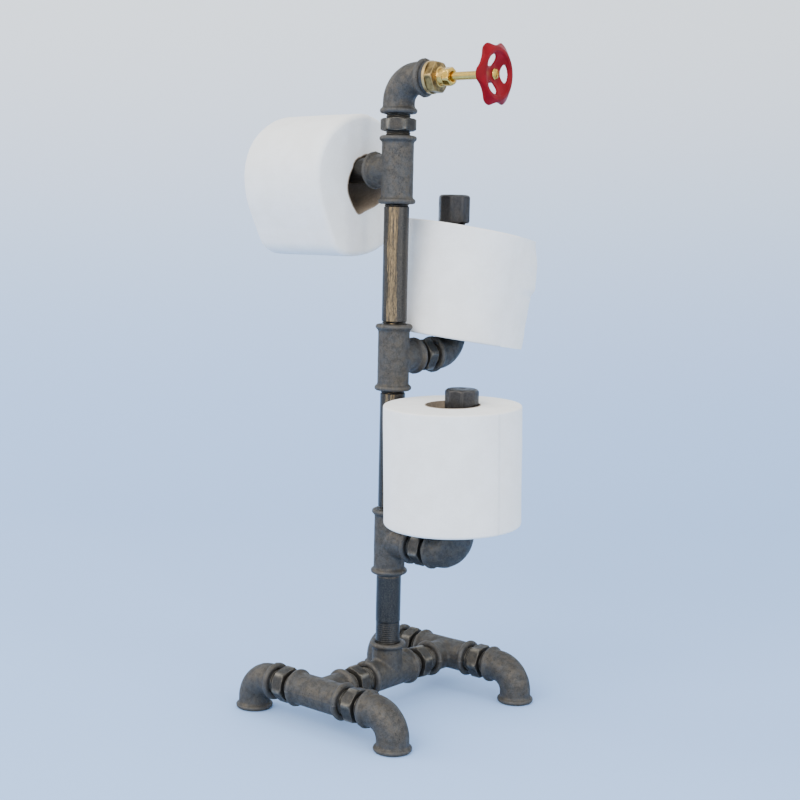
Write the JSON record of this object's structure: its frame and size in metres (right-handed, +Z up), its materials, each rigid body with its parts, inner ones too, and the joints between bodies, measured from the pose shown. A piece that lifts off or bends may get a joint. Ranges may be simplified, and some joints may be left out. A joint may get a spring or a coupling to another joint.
{
  "type": "toilet paper holder",
  "caption": "Free-standing toilet roll holder of threaded pipe fittings: four-footed base, post with two upright arms, one level arm and a handwheel on top, rolls fitted.",
  "frame": {"origin": "on the floor under the post's axis, midway between the four feet", "axes": "+Z up along the post; +X along the two legs, towards the lower arm; +Y along the bar, towards the middle arm"},
  "size_m": [0.2941, 0.2418, 0.5596],
  "materials": {
    "fitting_iron": "satin",
    "nipple_iron": "satin",
    "pipe_steel": "satin",
    "cap_iron": "satin",
    "rough_brass": "satin",
    "bright_brass": "polished",
    "red_paint": "gloss",
    "seal_rubber": "matte",
    "packing_fibre": "matte",
    "tissue_paper": "matte",
    "core_board": "matte"
  },
  "bodies": {
    "stand": {"front_leg_tee": "fitting_iron", "front_bar_nipple": "nipple_iron", "front_left_leg_nipple": "nipple_iron", "front_left_foot_elbow": "fitting_iron", "front_right_leg_nipple": "nipple_iron", "front_right_foot_elbow": "fitting_iron", "rear_leg_tee": "fitting_iron", "rear_bar_nipple": "nipple_iron", "rear_left_leg_nipple": "nipple_iron", "rear_left_foot_elbow": "fitting_iron", "rear_right_leg_nipple": "nipple_iron", "rear_right_foot_elbow": "fitting_iron", "base_tee": "fitting_iron", "lower_post_pipe": "pipe_steel", "lower_post_tee": "fitting_iron", "middle_post_pipe": "pipe_steel", "middle_post_tee": "fitting_iron", "upper_post_pipe": "pipe_steel", "upper_post_tee": "fitting_iron", "lower_arm_nipple": "nipple_iron", "lower_arm_elbow": "fitting_iron", "lower_roll_post": "pipe_steel", "lower_post_cap": "cap_iron", "middle_arm_nipple": "nipple_iron", "middle_arm_elbow": "fitting_iron", "middle_roll_post": "pipe_steel", "middle_post_cap": "cap_iron", "upper_arm_pipe": "pipe_steel", "upper_arm_cap": "cap_iron", "top_nipple": "nipple_iron", "valve_elbow": "fitting_iron", "bonnet_washer": "seal_rubber", "bonnet": "rough_brass", "gland_packing": "packing_fibre", "gland_nut": "bright_brass"},
    "jumper": {"jumper_valve": "bright_brass", "jumper_washer": "seal_rubber"},
    "wheel": {"spindle": "bright_brass", "handwheel": "red_paint", "handwheel_screw": "bright_brass"},
    "lower_roll": {"lower_roll_paper": "tissue_paper", "lower_roll_core": "core_board"},
    "middle_roll": {"middle_roll_paper": "tissue_paper", "middle_roll_core": "core_board"},
    "upper_roll": {"upper_roll_paper": "tissue_paper", "upper_roll_core": "core_board"}
  },
  "joints": [
    {"name": "valve_lift", "type": "slide", "parent": "stand", "child": "jumper", "axis": [0.9981, 0.061, 0], "range_m": [-0.00755, 0]},
    {"name": "wheel_turn", "type": "hinge", "parent": "jumper", "child": "wheel", "pos_m": [0.08784, 0.00537, 0.5347], "axis": [0.9981, 0.061, 0], "range_deg": [-1080, 0]},
    {"name": "lower_roll_spin", "type": "hinge", "parent": "stand", "child": "lower_roll", "pos_m": [0.0712, -0.0048, 0.1737], "axis": [0, -0.0366, 0.9993], "continuous": true},
    {"name": "middle_roll_spin", "type": "hinge", "parent": "stand", "child": "middle_roll", "pos_m": [-0.0007, 0.0726, 0.3169], "axis": [0.0777, 0.1353, 0.9877], "continuous": true},
    {"name": "upper_roll_spin", "type": "hinge", "parent": "stand", "child": "upper_roll", "pos_m": [-0.04143, 0.00239, 0.44925], "axis": [-0.9983, 0.0576, 0], "continuous": true}
  ],
  "couplings": [
    {"joint": "valve_lift", "follows": "wheel_turn", "m_per_rad": 0.00039789}
  ]
}
